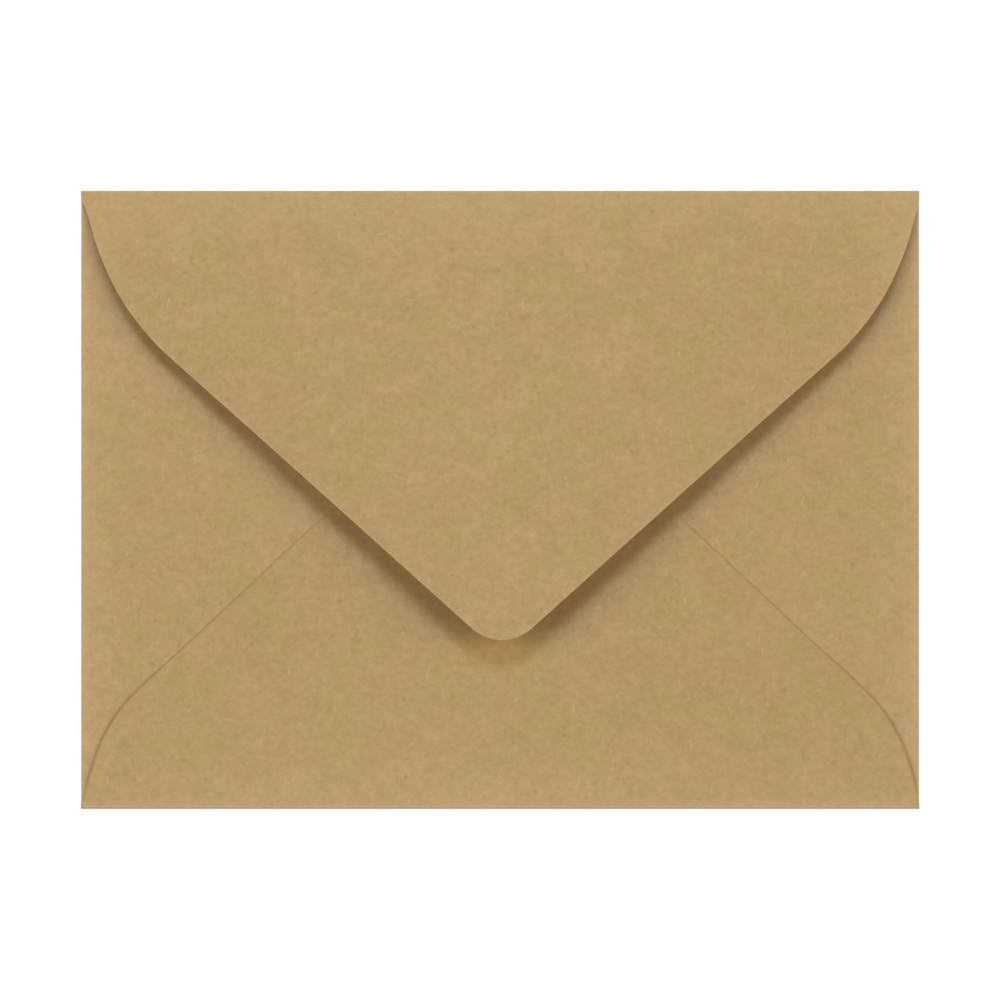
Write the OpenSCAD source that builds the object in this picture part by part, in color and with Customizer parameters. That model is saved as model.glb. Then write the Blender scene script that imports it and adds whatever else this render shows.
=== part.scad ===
// Paper envelope with a deep contour flap, folded and glued from one die-cut sheet.
// It lies on its front panel with the flap side up. Lengths are in millimetres.
// The origin is at the middle of the front panel's outer face, +Y runs to the top fold.

/* [Envelope] */
// Width across the two side folds
envelope_w = 93.7; // [86:0.1:104]
// Height from the bottom fold to the top fold
envelope_h = 69.1; // [64:0.1:76]

/* [Paper] */
// Thickness of the sheet
paper_t = 0.15; // [0.1:0.01:0.2]
// Air in the pocket, between the front panel and the side flaps
pocket_gap = 0.35; // [0.25:0.05:0.6]
// Air left over the side flaps by the top fold
top_fold_slack = 0.1; // [0.05:0.05:0.4]
// Step by which each flap starts inside the crown of the side folds
flap_set_in = 0.05; // [0.05:0.05:0.5]
// Relief left between two folds that meet at a corner
corner_relief = 0.3; // [0.2:0.1:1]
// Straight run of each flap's sides next to its fold
flap_neck = 1; // [0.5:0.1:1.5]

/* [Top flap] */
// Depth from the top fold to the rounded tip
top_depth = 50.2; // [46:0.1:56]
// Distance below the top fold at which the straight edges would meet the sides
top_drop = 10.2; // [8:0.1:13]
// Radius of the shoulder on each side
top_shoulder_r = 28.8; // [22:0.1:34]
// Radius of the tip
top_tip_r = 5; // [3:0.1:9]
// Angle by which the fold springs back and lifts the flap
top_spring = 6; // [4:0.5:10]
// Angle at which the flap still rises at its tip
top_tip_rise = 1.5; // [0:0.5:3]

/* [Bottom flap] */
// Depth from the bottom fold to the rounded tip
bottom_depth = 47.6; // [44:0.1:52]
// Distance above the bottom fold at which the straight edges would meet the sides
bottom_drop = 7.6; // [6:0.1:11]
// Radius of the shoulder on each side
bottom_shoulder_r = 18; // [14:0.1:24]
// Radius of the tip, which the top flap hides
bottom_tip_r = 10; // [6:0.5:14]

/* [Side flaps] */
// Depth from a side fold to the rounded tip
side_depth = 36.6; // [32:0.1:40]
// Radius of the tip, which the bottom flap hides
side_tip_r = 6; // [3:0.5:9]

/* [Hidden] */
// Colour of the unbleached paper
kraft = [0.72, 0.605, 0.425];
// Facets in a full turn of a fold, of an outline's arcs and of the top flap's curl
bend_fn = 72;
outline_fn = 200;
curl_fn = 256;
// Slight angle at which an outline's arcs meet its straight edges
arc_break = 1;

// The layers from the table up: front panel, pocket, side flaps, bottom flap
side_z = paper_t + pocket_gap;
bottom_z = side_z + paper_t;

// Each fold's inner radius is half of what it wraps, above the front panel
side_fold_r = (side_z - paper_t) / 2;
bottom_fold_r = (bottom_z - paper_t) / 2;
top_fold_r = bottom_fold_r + top_fold_slack / 2;

// Room that a fold takes up at the sheet's edge
side_room = side_fold_r + paper_t;
bottom_room = bottom_fold_r + paper_t;
top_room = top_fold_r + paper_t;

// The top flap's curl undoes its spring-back, all but the rise that is left at the tip
top_curl_r = round(top_depth / (sin(top_spring) - sin(top_tip_rise)));

// The long flaps start on the flat of the side flaps, just inside their folds
long_base = envelope_w - 2 * (side_room + flap_set_in);
// The side flaps fill the height that is left between the other two folds
side_low = -envelope_h / 2 + bottom_room + corner_relief;
side_high = envelope_h / 2 - top_room - corner_relief;
side_base = side_high - side_low;

// Angle from the fold of a straight edge that runs from the side at drop to the tip's arc
function edge_angle(base, depth, drop, tip_r) =
    let (rise = drop + tip_r - depth)
    asin(tip_r * cos(arc_break) / norm([base / 2, rise])) - atan2(rise, base / 2);

// Outline of a flap that hangs from its fold on the X axis, with its depth along +Y.
// The straight edges start from the sides at drop and end on the rounded tip.
module flap_outline(base, depth, drop, shoulder_r, tip_r) {
    angle = edge_angle(base, depth, drop, tip_r);
    side_corner = [base / 2, drop];
    tip_centre = [0, depth - tip_r];
    edge_end = tip_centre + tip_r * cos(arc_break) * [sin(angle), cos(angle)];
    right = [[base / 2, 0], side_corner, edge_end];
    left = [for (i = [2 : -1 : 0]) [-right[i].x, right[i].y]];
    difference() {
        union() {
            polygon(concat(right, left));
            translate(tip_centre) circle(tip_r, $fn = outline_fn);
        }
        if (shoulder_r > 0)
            for (side = [0, 1]) mirror([side, 0])
                shoulder_waste(side_corner, angle, shoulder_r);
    }
}

// What a shoulder's arc takes off the corner between a flap's side and its straight edge.
// The arc runs from the end of the neck to the straight edge, all but tangent to it.
module shoulder_waste(side_corner, angle, shoulder_r) {
    margin = flap_neck / 2;
    outward = [sin(angle), cos(angle)];
    neck_end = [side_corner.x, flap_neck];
    neck_inset = (side_corner.y - flap_neck) * cos(angle);
    centre_inset = shoulder_r * cos(arc_break);
    run = sqrt(pow(shoulder_r, 2) - pow(centre_inset - neck_inset, 2));
    shoulder_end = neck_end + neck_inset * outward + run * [-cos(angle), sin(angle)];
    difference() {
        polygon([
            neck_end - [margin, margin],
            neck_end + [margin, -margin],
            side_corner + [margin, margin],
            shoulder_end + margin * outward,
            shoulder_end - margin * outward
        ]);
        translate(shoulder_end - centre_inset * outward)
            circle(shoulder_r, $fn = outline_fn);
    }
}

// Strip of sheet bent about the X axis, from one angle to another.
// Angle 0 points along +Y and 90 points up. The strip is centred on X.
module bent_strip(width, inner_r, from, to, steps) {
    rotate([90, 0, 90]) rotate([0, 0, from])
        rotate_extrude(angle = to - from, $fn = steps)
            translate([inner_r, -width / 2]) square([paper_t, width]);
}

// Sheet that leaves the end of a bend on the X axis and curls down as it runs along -Y
module curled_sheet(width, depth, fold_r, curl_r) {
    translate([0, 0, fold_r - curl_r])
        bent_strip(width, curl_r, 90, 90 + asin(depth / curl_r), curl_fn);
}

// Flat sheet that leaves the end of a bend on the X axis and runs along -Y
module level_sheet(width, depth, fold_r) {
    translate([-width / 2, -depth, fold_r]) cube([width, depth, paper_t]);
}

// One fold with its flap. The fold's outermost line is the X axis, the panel lies at -Y.
// The first quarter of the bend is as wide as the panel's edge, and the rest is cut to shape.
// The spring-back turns the cut part about the bend's own axis, so the two overlap there.
// A flap with no radius of curl is flat.
module folded_flap(edge, base, depth, drop, shoulder_r, tip_r, fold_r, spring, curl_r) {
    room = fold_r + paper_t;
    translate([0, -room, room]) {
        bent_strip(edge, fold_r, -90, 0, bend_fn);
        rotate([-spring, 0, 0]) intersection() {
            union() {
                bent_strip(edge, fold_r, 0, 90, bend_fn);
                if (curl_r > 0)
                    curled_sheet(edge, depth, fold_r, curl_r);
                else
                    level_sheet(edge, depth, fold_r);
            }
            translate([0, room, 0]) mirror([0, 1, 0]) linear_extrude(depth, center = true)
                flap_outline(base, depth, drop, shoulder_r, tip_r);
        }
    }
}

// Flat sheet inside the four folds. Its corners run out to the full width beside the notches.
module front_panel() {
    flat_low = -envelope_h / 2 + bottom_room;
    flat_high = envelope_h / 2 - top_room;
    flat_w = envelope_w - 2 * side_room;
    translate([-flat_w / 2, flat_low, 0]) cube([flat_w, flat_high - flat_low, paper_t]);
    for (corner_y = [flat_low, side_high])
        translate([-envelope_w / 2, corner_y, 0])
            cube([envelope_w, corner_relief, paper_t]);
}

module top_flap() {
    translate([0, envelope_h / 2, 0])
        folded_flap(envelope_w, long_base, top_depth, top_drop, top_shoulder_r,
            top_tip_r, top_fold_r, top_spring, top_curl_r);
}

// It is glued down on the side flaps, so its underside lies face to face on them
module bottom_flap() {
    translate([0, -envelope_h / 2, 0]) rotate(180)
        folded_flap(envelope_w, long_base, bottom_depth, bottom_drop, bottom_shoulder_r,
            bottom_tip_r, bottom_fold_r, 0, 0);
}

// Straight-edged flap on the right side, or on the left one
module side_flap(left) {
    mirror([left ? 1 : 0, 0, 0])
        translate([envelope_w / 2, (side_low + side_high) / 2, 0]) rotate(-90)
            folded_flap(side_base, side_base, side_depth, flap_neck, 0,
                side_tip_r, side_fold_r, 0, 0);
}

// The whole sheet is one piece of paper, closed into a pocket by the glued seams
module envelope() {
    color(kraft) {
        front_panel();
        side_flap(left = true);
        side_flap(left = false);
        bottom_flap();
        top_flap();
    }
}

envelope();
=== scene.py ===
import math

import bpy
import numpy as np
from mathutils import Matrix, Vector
from mathutils.geometry import delaunay_2d_cdt

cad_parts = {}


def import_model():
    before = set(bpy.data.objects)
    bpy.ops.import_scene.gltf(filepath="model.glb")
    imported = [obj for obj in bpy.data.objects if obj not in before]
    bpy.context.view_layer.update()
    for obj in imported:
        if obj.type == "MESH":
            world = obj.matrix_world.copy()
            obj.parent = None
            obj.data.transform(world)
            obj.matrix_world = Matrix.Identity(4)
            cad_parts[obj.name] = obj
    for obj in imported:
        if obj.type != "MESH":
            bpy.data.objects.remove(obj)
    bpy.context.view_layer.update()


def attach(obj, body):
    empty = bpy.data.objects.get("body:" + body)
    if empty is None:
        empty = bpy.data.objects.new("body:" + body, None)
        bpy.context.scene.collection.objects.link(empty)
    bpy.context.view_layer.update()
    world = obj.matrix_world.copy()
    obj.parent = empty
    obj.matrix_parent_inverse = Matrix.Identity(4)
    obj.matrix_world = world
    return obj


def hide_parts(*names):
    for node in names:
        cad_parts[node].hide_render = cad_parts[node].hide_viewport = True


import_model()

# Sizes of the sheet in millimetres, as in the part's source
MM = 0.001
WIDTH, HEIGHT = 93.7, 69.1
PAPER = 0.15
SIDE_FOLD, BOTTOM_FOLD, TOP_FOLD = 0.175, 0.25, 0.3
SET_IN, RELIEF, NECK = 0.05, 0.3, 1.0
TOP_DEPTH = 50.2
SPRING, TIP_RISE = math.radians(6), math.radians(1.5)
CURL = round(TOP_DEPTH / (math.sin(SPRING) - math.sin(TIP_RISE))) + PAPER / 2
BREAK = math.radians(1)

HALF_W, HALF_H = WIDTH / 2, HEIGHT / 2
X_FLAT = HALF_W - SIDE_FOLD - PAPER
Y_TOP = HALF_H - TOP_FOLD - PAPER
Y_BOTTOM = -HALF_H + BOTTOM_FOLD + PAPER
SIDE_HIGH = Y_TOP - RELIEF
SIDE_LOW = Y_BOTTOM + RELIEF
SIDE_MID = (SIDE_HIGH + SIDE_LOW) / 2
LONG_BASE = WIDTH - 2 * (SIDE_FOLD + PAPER + SET_IN)
SPARE = HALF_W - LONG_BASE / 2

# Cells of the mesh's grid, its first row past a fold, and the rows over each fold
GRID, FIRST_ROW, BEND_ROWS = 0.9, 0.8, 20
# Band of small faces along the cut edge
EDGE_BAND = 0.3
# Points on a shoulder's arc and a tip's arc, and the step along a straight edge
SHOULDER_POINTS, TIP_POINTS, EDGE_STEP = 34, 14, 0.7

# Heights of the sheet's cockle, and of the bottom flap's loose edge and corners
COCKLE, LOOSE_EDGE, LOOSE_CORNER = 0.05, 0.01, 0.14

# Numbers of the layers from the table up
PANEL, SIDES, BOTTOM, TOP = 0, 1, 2, 3
# Distance for spots that a fold doesn't reach
FAR = 99


def smooth_step(x, low, high):
    k = np.clip((x - low) / (high - low), 0, 1)
    return k * k * (3 - 2 * k)


class Flap:
    """One flap of the flat blank: its outline, and the path its sheet takes over the fold."""

    def __init__(self, base, depth, drop, shoulder, tip, fold, square,
                 spring=0.0, shift=0.0, bow=((0, 0),)):
        self.base, self.depth, self.drop = base, depth, drop
        self.shoulder, self.tip, self.square = shoulder, tip, square
        self.room = fold + PAPER
        self.radius = fold + PAPER / 2
        self.spring, self.shift, self.bow = spring, shift, np.array(bow).T
        self.quarter = self.radius * math.pi / 2
        self.bend = self.radius * (math.pi - spring)
        self.length = self.along(depth)

    def along(self, deep):
        """Distance along the sheet from the panel's edge, for a depth from the fold's crown."""
        past = deep - self.room
        if past < 0:
            turn = math.acos(min(1.0, max(0.0, -past / self.radius)))
            return min(self.quarter + self.radius * turn, self.bend)
        if self.spring:
            return self.bend + CURL * math.asin(past / CURL)
        return self.bend + past

    def outline(self):
        """Right half of the cut edge, from the end of the neck to the tip, as (x, depth)."""
        half = self.base / 2
        rise = self.drop + self.tip - self.depth
        near = self.tip * math.cos(BREAK)
        angle = math.asin(near / math.hypot(half, rise)) - math.atan2(rise, half)
        out = np.array([math.sin(angle), math.cos(angle)])
        inward = np.array([-math.cos(angle), math.sin(angle)])
        points = []
        if self.shoulder:
            neck = np.array([half, NECK])
            inset = (self.drop - NECK) * math.cos(angle)
            deep = self.shoulder * math.cos(BREAK)
            run = math.sqrt(self.shoulder ** 2 - (deep - inset) ** 2)
            end = neck + inset * out + run * inward
            centre = end - deep * out
            first = math.atan2(*(neck - centre)[::-1])
            last = math.atan2(*out[::-1]) - BREAK
            for a in np.linspace(first, last, SHOULDER_POINTS):
                points.append(centre + self.shoulder * np.array([math.cos(a), math.sin(a)]))
        else:
            points.append(np.array([half, self.drop]))
        centre = np.array([0, self.depth - self.tip])
        first = math.atan2(*out[::-1]) + BREAK
        arc = [centre + self.tip * np.array([math.cos(a), math.sin(a)])
               for a in np.linspace(first, math.pi / 2, TIP_POINTS)]
        start = points[-1]
        steps = int(np.linalg.norm(arc[0] - start) / EDGE_STEP)
        points += [start + (arc[0] - start) * k / steps for k in range(1, steps)]
        return points + arc

    def rim(self):
        """The whole cut edge from right to left in sheet coordinates (x, distance).

        It bows a hair off the plain outline, from the sheet's full width at the fold, and lies
        a hair to one side of the middle.
        """
        half = self.base / 2
        widest = half + self.bow[1, 0]
        edge = [(half, self.room)] + [(half, d) for d in (0.6, 0.8) if self.shoulder]
        edge += [(x, d) for x, d in self.outline() if d > 0.9]
        right, left = [], []
        for s in np.linspace(self.quarter, self.bend, BEND_ROWS // 2 + 1)[:-1]:
            right.append((widest, s))
            left.append((-widest, s))
        for x, d in edge:
            wide = x + np.interp(d, *self.bow)
            aside = self.shift * smooth_step(d, 0.45, 2.5)
            right.append((min(wide + aside, HALF_W), self.along(d)))
            left.append((max(aside - wide, -HALF_W), self.along(d)))
        return right + left[-2::-1]

    def fold(self, s):
        """(outward, height) of the sheet's middle and its outer normal, at distances s."""
        s = np.asarray(s, float)
        last = math.pi / 2 - self.spring
        turn = np.minimum(-math.pi / 2 + np.maximum(s, 0) / self.radius, last)

        # a pressed fold is a little squarer than a round bend
        fade = smooth_step(turn, math.radians(50), last) if self.spring else 0.0
        power = 2 + (self.square - 2) * (1 - fade)
        across, upward = np.abs(np.cos(turn)), np.abs(np.sin(turn))
        reach = (across ** power + upward ** power) ** (-1 / power)
        nu = (across * reach) ** (power - 1)
        nz = (upward * reach) ** (power - 1) * np.sign(np.sin(turn))
        size = np.hypot(nu, nz)
        nu, nz = nu / size, nz / size
        u = self.radius * reach * np.cos(turn)
        z = PAPER / 2 + self.radius + self.radius * reach * np.sin(turn)

        past = np.maximum(s - self.bend, 0)
        if self.spring:
            phi = last + past / CURL
            u += CURL * (np.cos(phi) - math.cos(last))
            z += CURL * (np.sin(phi) - math.sin(last))
            nu = np.where(s > self.bend, np.cos(phi), nu)
            nz = np.where(s > self.bend, np.sin(phi), nz)
        else:
            u -= past
        return u, z, nu, nz


top = Flap(LONG_BASE, TOP_DEPTH, drop=10.2, shoulder=28.8, tip=5.0, fold=TOP_FOLD,
           square=3.2, spring=SPRING, shift=0.18,
           bow=((0.45, SPARE), (1.4, 0.3), (2.5, 0.11), (4, -0.02), (9, -0.07),
                (12, -0.02), (16, 0.01), (18, 0.07), (23, 0.04), (26, 0)))
bottom = Flap(LONG_BASE, 47.6, drop=7.6, shoulder=18.0, tip=10.0, fold=BOTTOM_FOLD,
              square=4.5, shift=-0.12,
              bow=((0.45, SPARE), (1.2, 0.27), (2.5, -0.04), (4.5, -0.2), (6.4, -0.17),
                   (8.2, -0.12), (10, -0.07), (11.5, 0.02), (13.5, 0.14), (16, 0.11),
                   (18.5, 0.05), (24, 0.05)))
side = Flap(SIDE_HIGH - SIDE_LOW, 36.6, drop=NECK, shoulder=0.0, tip=6.0, fold=SIDE_FOLD,
            square=3.2)


def blank_outline():
    """The die-cut sheet's outline, counter-clockwise, in flat coordinates."""
    gap = 0.05
    points = []

    def lap(start, sign):
        """Full-width part of a long fold, up to its crown, or back down again after its flap."""
        flap, edge = (top, Y_TOP) if sign > 0 else (bottom, Y_BOTTOM)
        rows = np.linspace(0, flap.quarter, BEND_ROWS // 2 + 1)
        rows = rows if start else rows[::-1]
        x = HALF_W if (sign > 0) == start else -HALF_W
        points.extend((x, edge + sign * s) for s in rows)

    def side_edge(sign):
        """One side flap: the right one from its lower corner up, or the left one down."""
        half = side.base / 2
        edge = [(-half, s) for s in np.linspace(0, side.bend, BEND_ROWS + 1)]
        edge += [(-w, s) for w, s in side.rim() if s > side.bend + gap]
        edge += [(half, s) for s in np.linspace(side.bend, 0, BEND_ROWS + 1)]
        points.extend((sign * (X_FLAT + s), SIDE_MID + sign * w) for w, s in edge)

    points.append((X_FLAT, SIDE_LOW - gap))
    side_edge(1)
    points.append((X_FLAT, SIDE_HIGH + gap))
    points.append((HALF_W, SIDE_HIGH + gap))
    lap(True, 1)
    points.extend((x, Y_TOP + s) for x, s in top.rim())
    lap(False, 1)
    points.append((-HALF_W, SIDE_HIGH + gap))
    points.append((-X_FLAT, SIDE_HIGH + gap))
    side_edge(-1)
    points.append((-X_FLAT, SIDE_LOW - gap))
    points.append((-HALF_W, SIDE_LOW - gap))
    lap(True, -1)
    points.extend((-x, Y_BOTTOM - s) for x, s in bottom.rim())
    lap(False, -1)
    points.append((HALF_W, SIDE_LOW - gap))

    # points that fall together are kept once
    kept = [points[0]]
    for p in points[1:]:
        if math.dist(p, kept[-1]) > 1e-4:
            kept.append(p)
    return np.array(kept)


def distance_to_outline(points, outline):
    """Distance from each point to the nearest stretch of the outline, and whether it is inside."""
    a, b = outline, np.roll(outline, -1, axis=0)
    ab = b - a
    best = np.full(len(points), 1e9)
    inside = np.zeros(len(points), bool)
    for i in range(len(a)):
        ap = points - a[i]
        k = np.clip(ap @ ab[i] / (ab[i] @ ab[i]), 0, 1)
        best = np.minimum(best, np.hypot(*(ap - k[:, None] * ab[i]).T))
        crosses = (a[i, 1] > points[:, 1]) != (b[i, 1] > points[:, 1])
        if crosses.any():
            x = a[i, 0] + (points[crosses, 1] - a[i, 1]) * ab[i, 0] / (ab[i, 1] or 1e-12)
            inside[crosses] ^= points[crosses, 0] < x
    return best, inside


def lines(low, high):
    return np.linspace(low, high, int(round((high - low) / GRID)) + 1)


def lattice(xs, ys):
    return np.array(np.meshgrid(xs, ys)).reshape(2, -1).T


def grid_points(outline):
    """Inner points of the blank: a square grid, with close rows at the folds and the cut edge."""
    bend = np.linspace(0, 1, BEND_ROWS + 1)
    ys = np.concatenate([
        Y_BOTTOM - bottom.bend - np.arange(FIRST_ROW, bottom.length - bottom.bend, GRID)[::-1],
        Y_BOTTOM - bottom.bend * bend[::-1],
        lines(SIDE_LOW, SIDE_HIGH),
        Y_TOP + top.bend * bend,
        Y_TOP + top.bend + np.arange(FIRST_ROW, top.length - top.bend, GRID),
    ])
    centre = lattice(lines(-X_FLAT, X_FLAT), ys)
    out = X_FLAT + np.concatenate([
        side.bend * bend[1:],
        side.bend + np.arange(FIRST_ROW, side.length - side.bend, GRID),
    ])
    wing = lattice(out, lines(SIDE_LOW, SIDE_HIGH))
    along = np.roll(outline, -1, axis=0) - np.roll(outline, 1, axis=0)
    inward = np.stack([-along[:, 1], along[:, 0]], 1) / np.linalg.norm(along, axis=1)[:, None]
    ring = outline + EDGE_BAND * inward
    points = np.concatenate([ring, centre, wing, wing * [-1, 1]])

    # the grid keeps clear of the ring, and both keep clear of the edge
    apart = np.full(len(points), EDGE_BAND * 1.7)
    apart[:len(ring)] = EDGE_BAND * 0.95
    away, inside = distance_to_outline(points, outline)
    return points[inside & (away > apart)]


def waves(x, y, seed, shortest, longest, count=10):
    """Smooth random relief, about -1 to 1, for the paper's slight cockle and broad tone."""
    rng = np.random.default_rng(seed)
    total = np.zeros_like(x)
    for _ in range(count):
        length = rng.uniform(shortest, longest)
        way, phase = rng.uniform(0, math.pi), rng.uniform(0, 2 * math.pi)
        total += np.sin((x * math.cos(way) + y * math.sin(way)) * 2 * math.pi / length + phase)
    return total / (1.6 * math.sqrt(count))


def folded(flat):
    """Middle of the sheet, outer normal and layer number for flat points."""
    x, y = flat[:, 0], flat[:, 1]
    pos = np.stack([x, y, np.full(len(x), PAPER / 2)], 1)
    nrm = np.tile([0.0, 0.0, -1.0], (len(x), 1))
    layer = np.full(len(x), PANEL)
    in_side = (y > SIDE_LOW - 0.01) & (y < SIDE_HIGH + 0.01) & (np.abs(x) > X_FLAT)
    for flap, mask, sign, edge, axis, number in (
        (top, y > Y_TOP, 1, Y_TOP, 1, TOP),
        (bottom, y < Y_BOTTOM, -1, Y_BOTTOM, 1, BOTTOM),
        (side, in_side & (x > 0), 1, X_FLAT, 0, SIDES),
        (side, in_side & (x < 0), -1, -X_FLAT, 0, SIDES),
    ):
        s = np.abs(flat[mask, axis] - edge)
        u, z, nu, nz = flap.fold(s)
        pos[mask, axis] = edge + sign * u
        pos[mask, 2] = z
        nrm[mask] = 0
        nrm[mask, axis] = sign * nu
        nrm[mask, 2] = nz
        layer[mask] = number
    return pos, nrm, layer


def at_corner(x, y):
    """How near a spot is to a lower corner, where the bottom flap's shoulder stands off."""
    return smooth_step(np.abs(x), 26, 40) * smooth_step(-y, 12, 24)


def settle(pos, nrm, layer, cut):
    """Adds the paper's cockle and the loose edges, and returns the new middle."""
    x, y = pos[:, 0], pos[:, 1]
    inner = smooth_step(HALF_W - np.abs(x), 0.6, 9) * smooth_step(HALF_H - np.abs(y), 0.6, 9)
    lift = COCKLE * np.maximum(1 + waves(x, y, 11, 16, 44), 0) * inner

    # the bottom flap isn't glued right to its edge, and stands off most at its shoulders
    off_fold = smooth_step(y + HALF_H, 0.4, 3)
    by_edge = 1 - smooth_step(cut, 0.2, 4.0)
    loose = (LOOSE_EDGE + LOOSE_CORNER * at_corner(x, y) * off_fold) * by_edge * off_fold
    lift += np.where((layer == BOTTOM) & (nrm[:, 2] > 0.5), loose, 0)

    # the top flap only dips, so that it stays below the plain curl
    free = smooth_step(HALF_H - y, 3, 18)
    lift = np.where(layer == TOP, COCKLE * (waves(x, y, 5, 22, 60) - 1) * free, lift)
    return pos + np.outer(lift, [0, 0, 1])


def tone_and_painted_light(flat, pos, layer, cut):
    """The material's amounts at each spot of the sheet, by name: painted highlights by the folds
    and on the cut edges that stand off, painted shade along the bottom flap's seam, and a broad
    random tone.
    """
    x, y = flat[:, 0], flat[:, 1]
    in_side = (y > SIDE_LOW - 0.1) & (y < SIDE_HIGH + 0.1)

    # painted highlight by each spot's nearest fold, on the fold's crown and in a paler margin
    # beside it
    crown, margin = np.zeros(len(x)), np.zeros(len(x))
    for away, on_crown, beside in (
        (np.abs(y - (Y_TOP + top.quarter)), 0.2, 0.95),
        (np.abs(y - (Y_BOTTOM - bottom.quarter)), 1.0, 0.9),
        (np.where(in_side, np.abs(np.abs(x) - (X_FLAT + side.quarter)), FAR), 0.4, 1.0),
        (np.where(layer > SIDES, HALF_W - np.abs(x), FAR), 0.0, 1.0),
        (np.where(layer == TOP, HALF_W - x, FAR), 0.0, 1.6),
    ):
        crown = np.maximum(crown, on_crown * (1 - smooth_step(away, 0.3, 0.6)))
        margin = np.maximum(margin, beside * (1 - np.clip(away / 9, 0, 1)) ** 1.6)

    # painted highlight on the cut edges that stand off, and painted shade along the bottom flap's
    # seam edge
    at_edge = np.where(cut < EDGE_BAND / 2, 1, 0)
    corner = at_corner(pos[:, 0], pos[:, 1])
    stands_off = np.where(layer == TOP, 1, np.where(layer == BOTTOM, corner, 0))
    return {
        "crown": crown,
        "margin": margin,
        "broad": waves(x, y, 228, 50, 140),
        # painted highlight on the cut edges that stand off
        "edge_highlight": stands_off * at_edge,
        # painted shade along the bottom flap's seam edge, twice as strong at its corners
        "seam_shade": np.where(layer == BOTTOM, 1 + corner, 0) * at_edge,
    }


def make_envelope():
    outline = blank_outline()
    flat = np.concatenate([outline, grid_points(outline)])
    ring = list(range(len(outline)))
    result = delaunay_2d_cdt([Vector(p) for p in flat], [], [ring], 1, 1e-6)
    verts = np.array([tuple(v) for v in result[0]])
    outer = np.array([tuple(f) for f in result[2]])
    cut, _ = distance_to_outline(verts, outline)
    pos, nrm, layer = folded(verts)
    middle = settle(pos, nrm, layer, cut)

    # the outer skin's faces are wound so that they look out
    corners = middle[outer]
    face_nrm = np.cross(corners[:, 1] - corners[:, 0], corners[:, 2] - corners[:, 0])
    if (face_nrm * nrm[outer[:, 0]]).sum() < 0:
        outer = outer[:, ::-1]
    outer = outer.tolist()
    edges = dict.fromkeys((f[k], f[(k + 1) % 3]) for f in outer for k in range(3))
    rim = [(a, b) for a, b in edges if (b, a) not in edges]

    # two skins and a wall along the cut edge
    n = len(verts)
    half = PAPER / 2
    points = np.concatenate([middle + nrm * half, middle - nrm * half]) * MM
    skins = [tuple(f) for f in outer] + [tuple(i + n for i in f[::-1]) for f in outer]
    walls = [(b, a, a + n, b + n) for a, b in rim]
    mesh = bpy.data.meshes.new("envelope_paper")
    mesh.from_pydata([tuple(v) for v in points], [], skins + walls)
    mesh.update()
    mesh.shade_smooth()

    # the cut edge stays crisp
    sharp = {frozenset(e) for e in rim} | {frozenset((a + n, b + n)) for a, b in rim}
    flags = [frozenset(e.vertices) in sharp for e in mesh.edges]
    mesh.attributes.new("sharp_edge", "BOOLEAN", "EDGE").data.foreach_set("value", flags)

    # the grain is laid out on the flat sheet, and the inner skin has grain of its own
    sheet = np.zeros((2 * n, 3))
    sheet[:n, :2] = sheet[n:, :2] = verts
    sheet[n:, 2] = 40.0
    place = mesh.attributes.new("sheet_mm", "FLOAT_VECTOR", "POINT")
    place.data.foreach_set("vector", sheet.ravel())
    for name, values in tone_and_painted_light(verts, pos, layer, cut).items():
        both = np.concatenate([values, values])
        mesh.attributes.new(name, "FLOAT", "POINT").data.foreach_set("value", both)
    obj = bpy.data.objects.new("envelope_paper", mesh)
    bpy.context.collection.objects.link(obj)
    return obj


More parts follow.
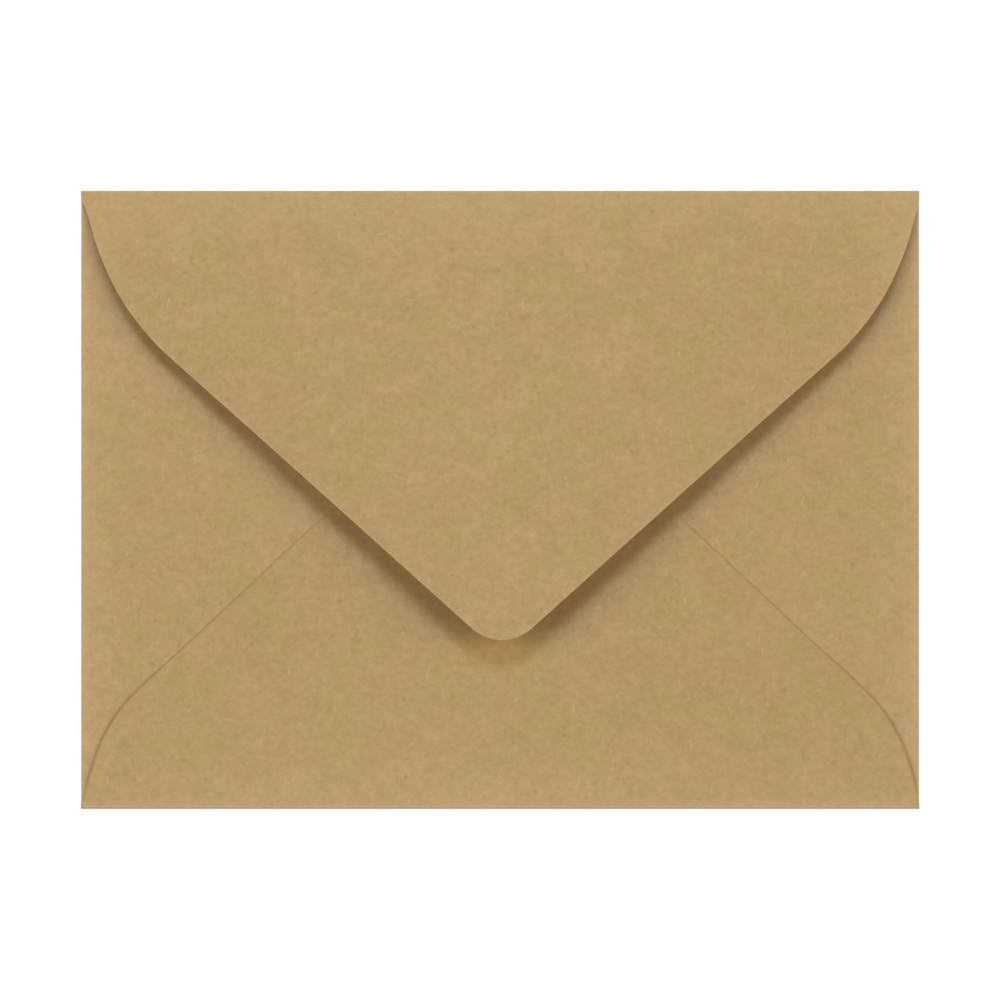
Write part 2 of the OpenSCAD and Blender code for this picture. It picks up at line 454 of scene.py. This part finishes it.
class Graph:
    """A short way to add nodes and links to a material or a world."""

    def __init__(self, owner):
        owner.use_nodes = True
        self.owner, self.tree = owner, owner.node_tree
        self.tree.nodes.clear()

    def feed(self, socket, value):
        if isinstance(value, bpy.types.NodeSocket):
            self.tree.links.new(value, socket)
        else:
            socket.default_value = value

    def add(self, kind, inputs=None, out=0, **settings):
        node = self.tree.nodes.new(kind)
        for key, value in settings.items():
            setattr(node, key, value)
        for key, value in (inputs or {}).items():
            self.feed(node.inputs[key], value)
        return node.outputs[out] if node.outputs else node

    def math(self, operation, a, b=0.0, c=0.0):
        return self.add("ShaderNodeMath", {0: a, 1: b, 2: c}, operation=operation)

    def vector(self, operation, a, b, c=(0, 0, 0)):
        return self.add("ShaderNodeVectorMath", {0: a, 1: b, 2: c}, operation=operation)

    def span(self, value, low, high, to_low=0.0, to_high=1.0, kind="SMOOTHSTEP"):
        return self.add("ShaderNodeMapRange", {
            "Value": value, "From Min": low, "From Max": high,
            "To Min": to_low, "To Max": to_high}, interpolation_type=kind)

    def noise(self, at, scale, detail=2.0, rough=0.5, out=0):
        return self.add("ShaderNodeTexNoise", {
            "Vector": at, "Scale": scale, "Detail": detail, "Roughness": rough}, out=out)

    def attribute(self, name, out=2):
        return self.add("ShaderNodeAttribute", attribute_name=name, out=out)

    def background_seen(self):
        """1 for the rays that show a background: the camera's own, reflected and passed on."""
        path = self.add("ShaderNodeLightPath").node
        seen = path.outputs["Is Camera Ray"]
        for kind in ("Is Glossy Ray", "Is Transmission Ray"):
            seen = self.math("MAXIMUM", seen, path.outputs[kind])
        return seen

    def turned(self, at, rotation, sizes):
        """The coordinates turned, then divided by the sizes."""
        return self.add("ShaderNodeMapping", {
            "Vector": at, "Rotation": rotation, "Scale": sizes}, vector_type="TEXTURE")

    def shaken(self, at, scale, reach):
        """The coordinates moved about in the sheet's plane by a noise."""
        return self.vector("MULTIPLY_ADD", self.noise(at, scale, 1.0, out=1),
                           (reach, reach, 0.0), at)

    def mix(self, factor, a, b):
        node = self.tree.nodes.new("ShaderNodeMix")
        node.data_type = "RGBA"
        for index, value in ((0, factor), (6, a), (7, b)):
            self.feed(node.inputs[index], value)
        return node.outputs[2]


def linear(r, g, b):
    """A displayed colour from 0 to 255 as linear values."""
    done = []
    for c in (r, g, b):
        c /= 255
        done.append(c / 12.92 if c <= 0.04045 else ((c + 0.055) / 1.055) ** 2.4)
    return (*done, 1.0)


GREENISH, WARM = linear(186.2, 157.6, 107.4), linear(189.7, 157, 109.8)
PALE_FIBRE, DARK_FIBRE = linear(216, 190, 145), linear(120, 92, 55)
BARK = linear(125, 95, 52)
# tints of painted highlights: on the folds' crowns, and in the margins and on the cut edges that
# stand off
CROWN_HIGHLIGHT, PALE_HIGHLIGHT = linear(212, 194, 160), linear(230, 196, 150)
# tint of the painted shade along the bottom flap's seam
SEAM_SHADE_TINT = linear(184, 141, 76)

# Flocks of fibre, by the noise's scale, its detail and the share of tone
FLOCKS = ((0.2, 1.0, 0.024), (0.5, 1.0, 0.036), (1.3, 1.0, 0.07), (2.8, 0.0, 0.026))
# Directions of the short fibres, with their tint and strength
FIBRES = ((0.2, PALE_FIBRE, 0.17), (1.8, PALE_FIBRE, 0.3), (2.6, PALE_FIBRE, 0.2),
          (0.8, DARK_FIBRE, 0.12), (1.4, DARK_FIBRE, 0.15), (2.9, DARK_FIBRE, 0.12))
# Specks, by the random values that give them size, their reach, strength and tint
SPECKS = (((0.3, 1.0), 0.11, 0.2, BARK), ((0.2, 0.0), 0.06, 0.4, PALE_FIBRE))


def kraft():
    g = Graph(bpy.data.materials.new("kraft_paper"))
    at = g.attribute("sheet_mm", out=1)

    # the noises are cut at a slant, so that their lattice doesn't show as a weave
    slant = g.turned(at, (0.75, 0.5, 0.35), (1, 1, 1))

    # cloudy formation of the sheet: warm and greenish patches
    hue = g.noise(slant, 0.16, 3.0, 0.55)
    colour = g.mix(g.span(hue, 0.36, 0.64), GREENISH, WARM)

    # lighter and darker flocks of fibre, which change all three display values alike
    tone = g.math("MULTIPLY", g.attribute("broad"), 0.06)
    grain = 0.0
    for scale, detail, share in FLOCKS:
        flock = g.span(g.noise(slant, scale, detail, 0.6), 0.25, 0.75, -share, share, "LINEAR")
        tone = g.math("ADD", tone, flock)
        grain = g.math("MULTIPLY_ADD", flock, 5.0, grain)
    gain = g.vector("MULTIPLY_ADD", tone, (0.84, 1.0, 1.43), (1, 1, 1))
    colour = g.vector("MULTIPLY", colour, gain)

    # short pale and dark fibres, a little bent, that lie in several directions
    bent = g.shaken(at, 0.3, 2.4)
    fibre = 0.0
    for angle, tint, strength in FIBRES:
        lengthwise = g.turned(bent, (0, 0, angle), (1.4, 0.4, 1))
        strand = g.span(g.noise(lengthwise, 1.0, 0.0), 0.72, 0.9)
        colour = g.mix(g.math("MULTIPLY", strand, strength), colour, tint)
        fibre = g.math("ADD", fibre, strand)

    # sparse dark specks of bark and a few pale ones, ragged and of several sizes
    ragged = g.shaken(at, 2.5, 0.35)
    spot = g.add("ShaderNodeTexVoronoi", {"Vector": ragged, "Scale": 0.4},
                 voronoi_dimensions="2D").node
    size = g.add("ShaderNodeSeparateColor", {0: spot.outputs["Color"]})
    for sizes, reach, strength, tint in SPECKS:
        radius = g.span(size, *sizes, 0.0, reach, "LINEAR")
        near = g.math("SUBTRACT", spot.outputs["Distance"], radius)
        colour = g.mix(g.span(near, -0.07, 0.04, strength, 0.0), colour, tint)

    # painted highlights on the folds' crowns, in a paler margin beside them and on the cut edges
    # that stand off, and painted shade along the bottom flap's seam
    for name, strength, tint in (("crown", 0.4, CROWN_HIGHLIGHT), ("margin", 0.12, PALE_HIGHLIGHT),
                                 ("edge_highlight", 0.12, PALE_HIGHLIGHT), ("seam_shade", 0.35, SEAM_SHADE_TINT)):
        colour = g.mix(g.math("MULTIPLY", g.attribute(name), strength), colour, tint)

    bump = g.add("ShaderNodeBump", {
        "Strength": 0.35, "Distance": 0.00002, "Height": g.math("ADD", grain, fibre)})
    surface = g.add("ShaderNodeBsdfPrincipled", {
        "Base Color": colour, "Roughness": g.span(grain, -0.5, 0.5, 0.94, 0.82, "LINEAR"),
        "IOR": 1.45, "Specular IOR Level": 0.05, "Normal": bump})
    g.add("ShaderNodeOutputMaterial", {"Surface": surface})
    return g.owner


def floor_material():
    """White paper sweep: shows white to the camera and keeps the object's shadow."""
    g = Graph(bpy.data.materials.new("studio_floor"))
    lit = g.add("ShaderNodeBsdfDiffuse", {"Color": (0.9, 0.9, 0.9, 1)})
    shown = g.add("ShaderNodeBsdfDiffuse", {"Color": (0.3, 0.3, 0.3, 1)})
    glow = g.add("ShaderNodeEmission", {"Color": (1, 1, 1, 1), "Strength": 0.8})
    white = g.add("ShaderNodeAddShader", {0: shown, 1: glow})
    both = g.add("ShaderNodeMixShader", {0: g.background_seen(), 1: lit, 2: white})
    g.add("ShaderNodeOutputMaterial", {"Surface": both})
    return g.owner


def world():
    """White where the background shows, and a dim even fill for the rest."""
    g = Graph(bpy.data.worlds.new("studio"))
    fill = g.add("ShaderNodeBackground", {"Color": (1, 1, 1, 1), "Strength": 0.015})
    white = g.add("ShaderNodeBackground", {"Color": (1, 1, 1, 1), "Strength": 1.0})
    both = g.add("ShaderNodeMixShader", {0: g.background_seen(), 1: fill, 2: white})
    g.add("ShaderNodeOutputWorld", {"Surface": both})
    return g.owner


envelope = make_envelope()
envelope.data.materials.append(kraft())
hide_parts("envelope")
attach(envelope, "root")

# Floor, a hair below the table's plane so that it doesn't lie in the panel's face
FLOOR_REACH = 1.5
floor_mesh = bpy.data.meshes.new("floor")
floor_mesh.from_pydata([(x * FLOOR_REACH, y * FLOOR_REACH, 0)
                        for x, y in ((-1, -1), (1, -1), (1, 1), (-1, 1))],
                       [], [(0, 1, 2, 3)])
floor = bpy.data.objects.new("floor", floor_mesh)
bpy.context.collection.objects.link(floor)
floor.location.z = -0.00002
floor.data.materials.append(floor_material())

bpy.context.scene.world = world()


def lamp(name, around, elevation, width, height, share):
    """A softbox at an angle round from the top of the picture, giving a share of plain light."""
    distance = 1.6
    e, a = math.radians(elevation), math.radians(around)
    way = Vector((math.sin(a) * math.cos(e), math.cos(a) * math.cos(e), math.sin(e)))
    data = bpy.data.lights.new(name, "AREA")
    data.shape = "RECTANGLE"
    data.size, data.size_y = width, height
    data.energy = max(share) * math.pi ** 2 * distance ** 2 / math.sin(e)
    data.color = [c / max(share) for c in share]
    obj = bpy.data.objects.new(name, data)
    obj.location = way * distance
    obj.rotation_euler = way.to_track_quat("Z", "Y").to_euler()
    bpy.context.collection.objects.link(obj)


# Two warm side softboxes and a cooler one from the top, which add up to white
SIDE_SHARE, TOP_SHARE = (0.415, 0.3815, 0.32), (0.17, 0.237, 0.36)
lamp("softbox_left", -86, 37, 0.98, 1.0, SIDE_SHARE)
lamp("softbox_right", 86, 37, 0.98, 1.0, SIDE_SHARE)
lamp("softbox_top", 0, 46, 0.64, 0.36, TOP_SHARE)

# Camera straight above, as far as its long lens needs for the photograph's frame at the folds,
# where the envelope is 837.55 of the 1000 pixels wide
FRAME = WIDTH * 1000 / 837.55 * MM
FOLD_LEVEL = 0.0003
camera_data = bpy.data.cameras.new("camera")
camera_data.lens = 150
camera_data.sensor_width = 36
camera_data.clip_start = 0.01
camera = bpy.data.objects.new("camera", camera_data)
camera.location = (-0.000015, -0.00002,
                   FOLD_LEVEL + FRAME * camera_data.lens / camera_data.sensor_width)
bpy.context.collection.objects.link(camera)
bpy.context.scene.camera = camera

bpy.context.scene.view_settings.view_transform = "Standard"
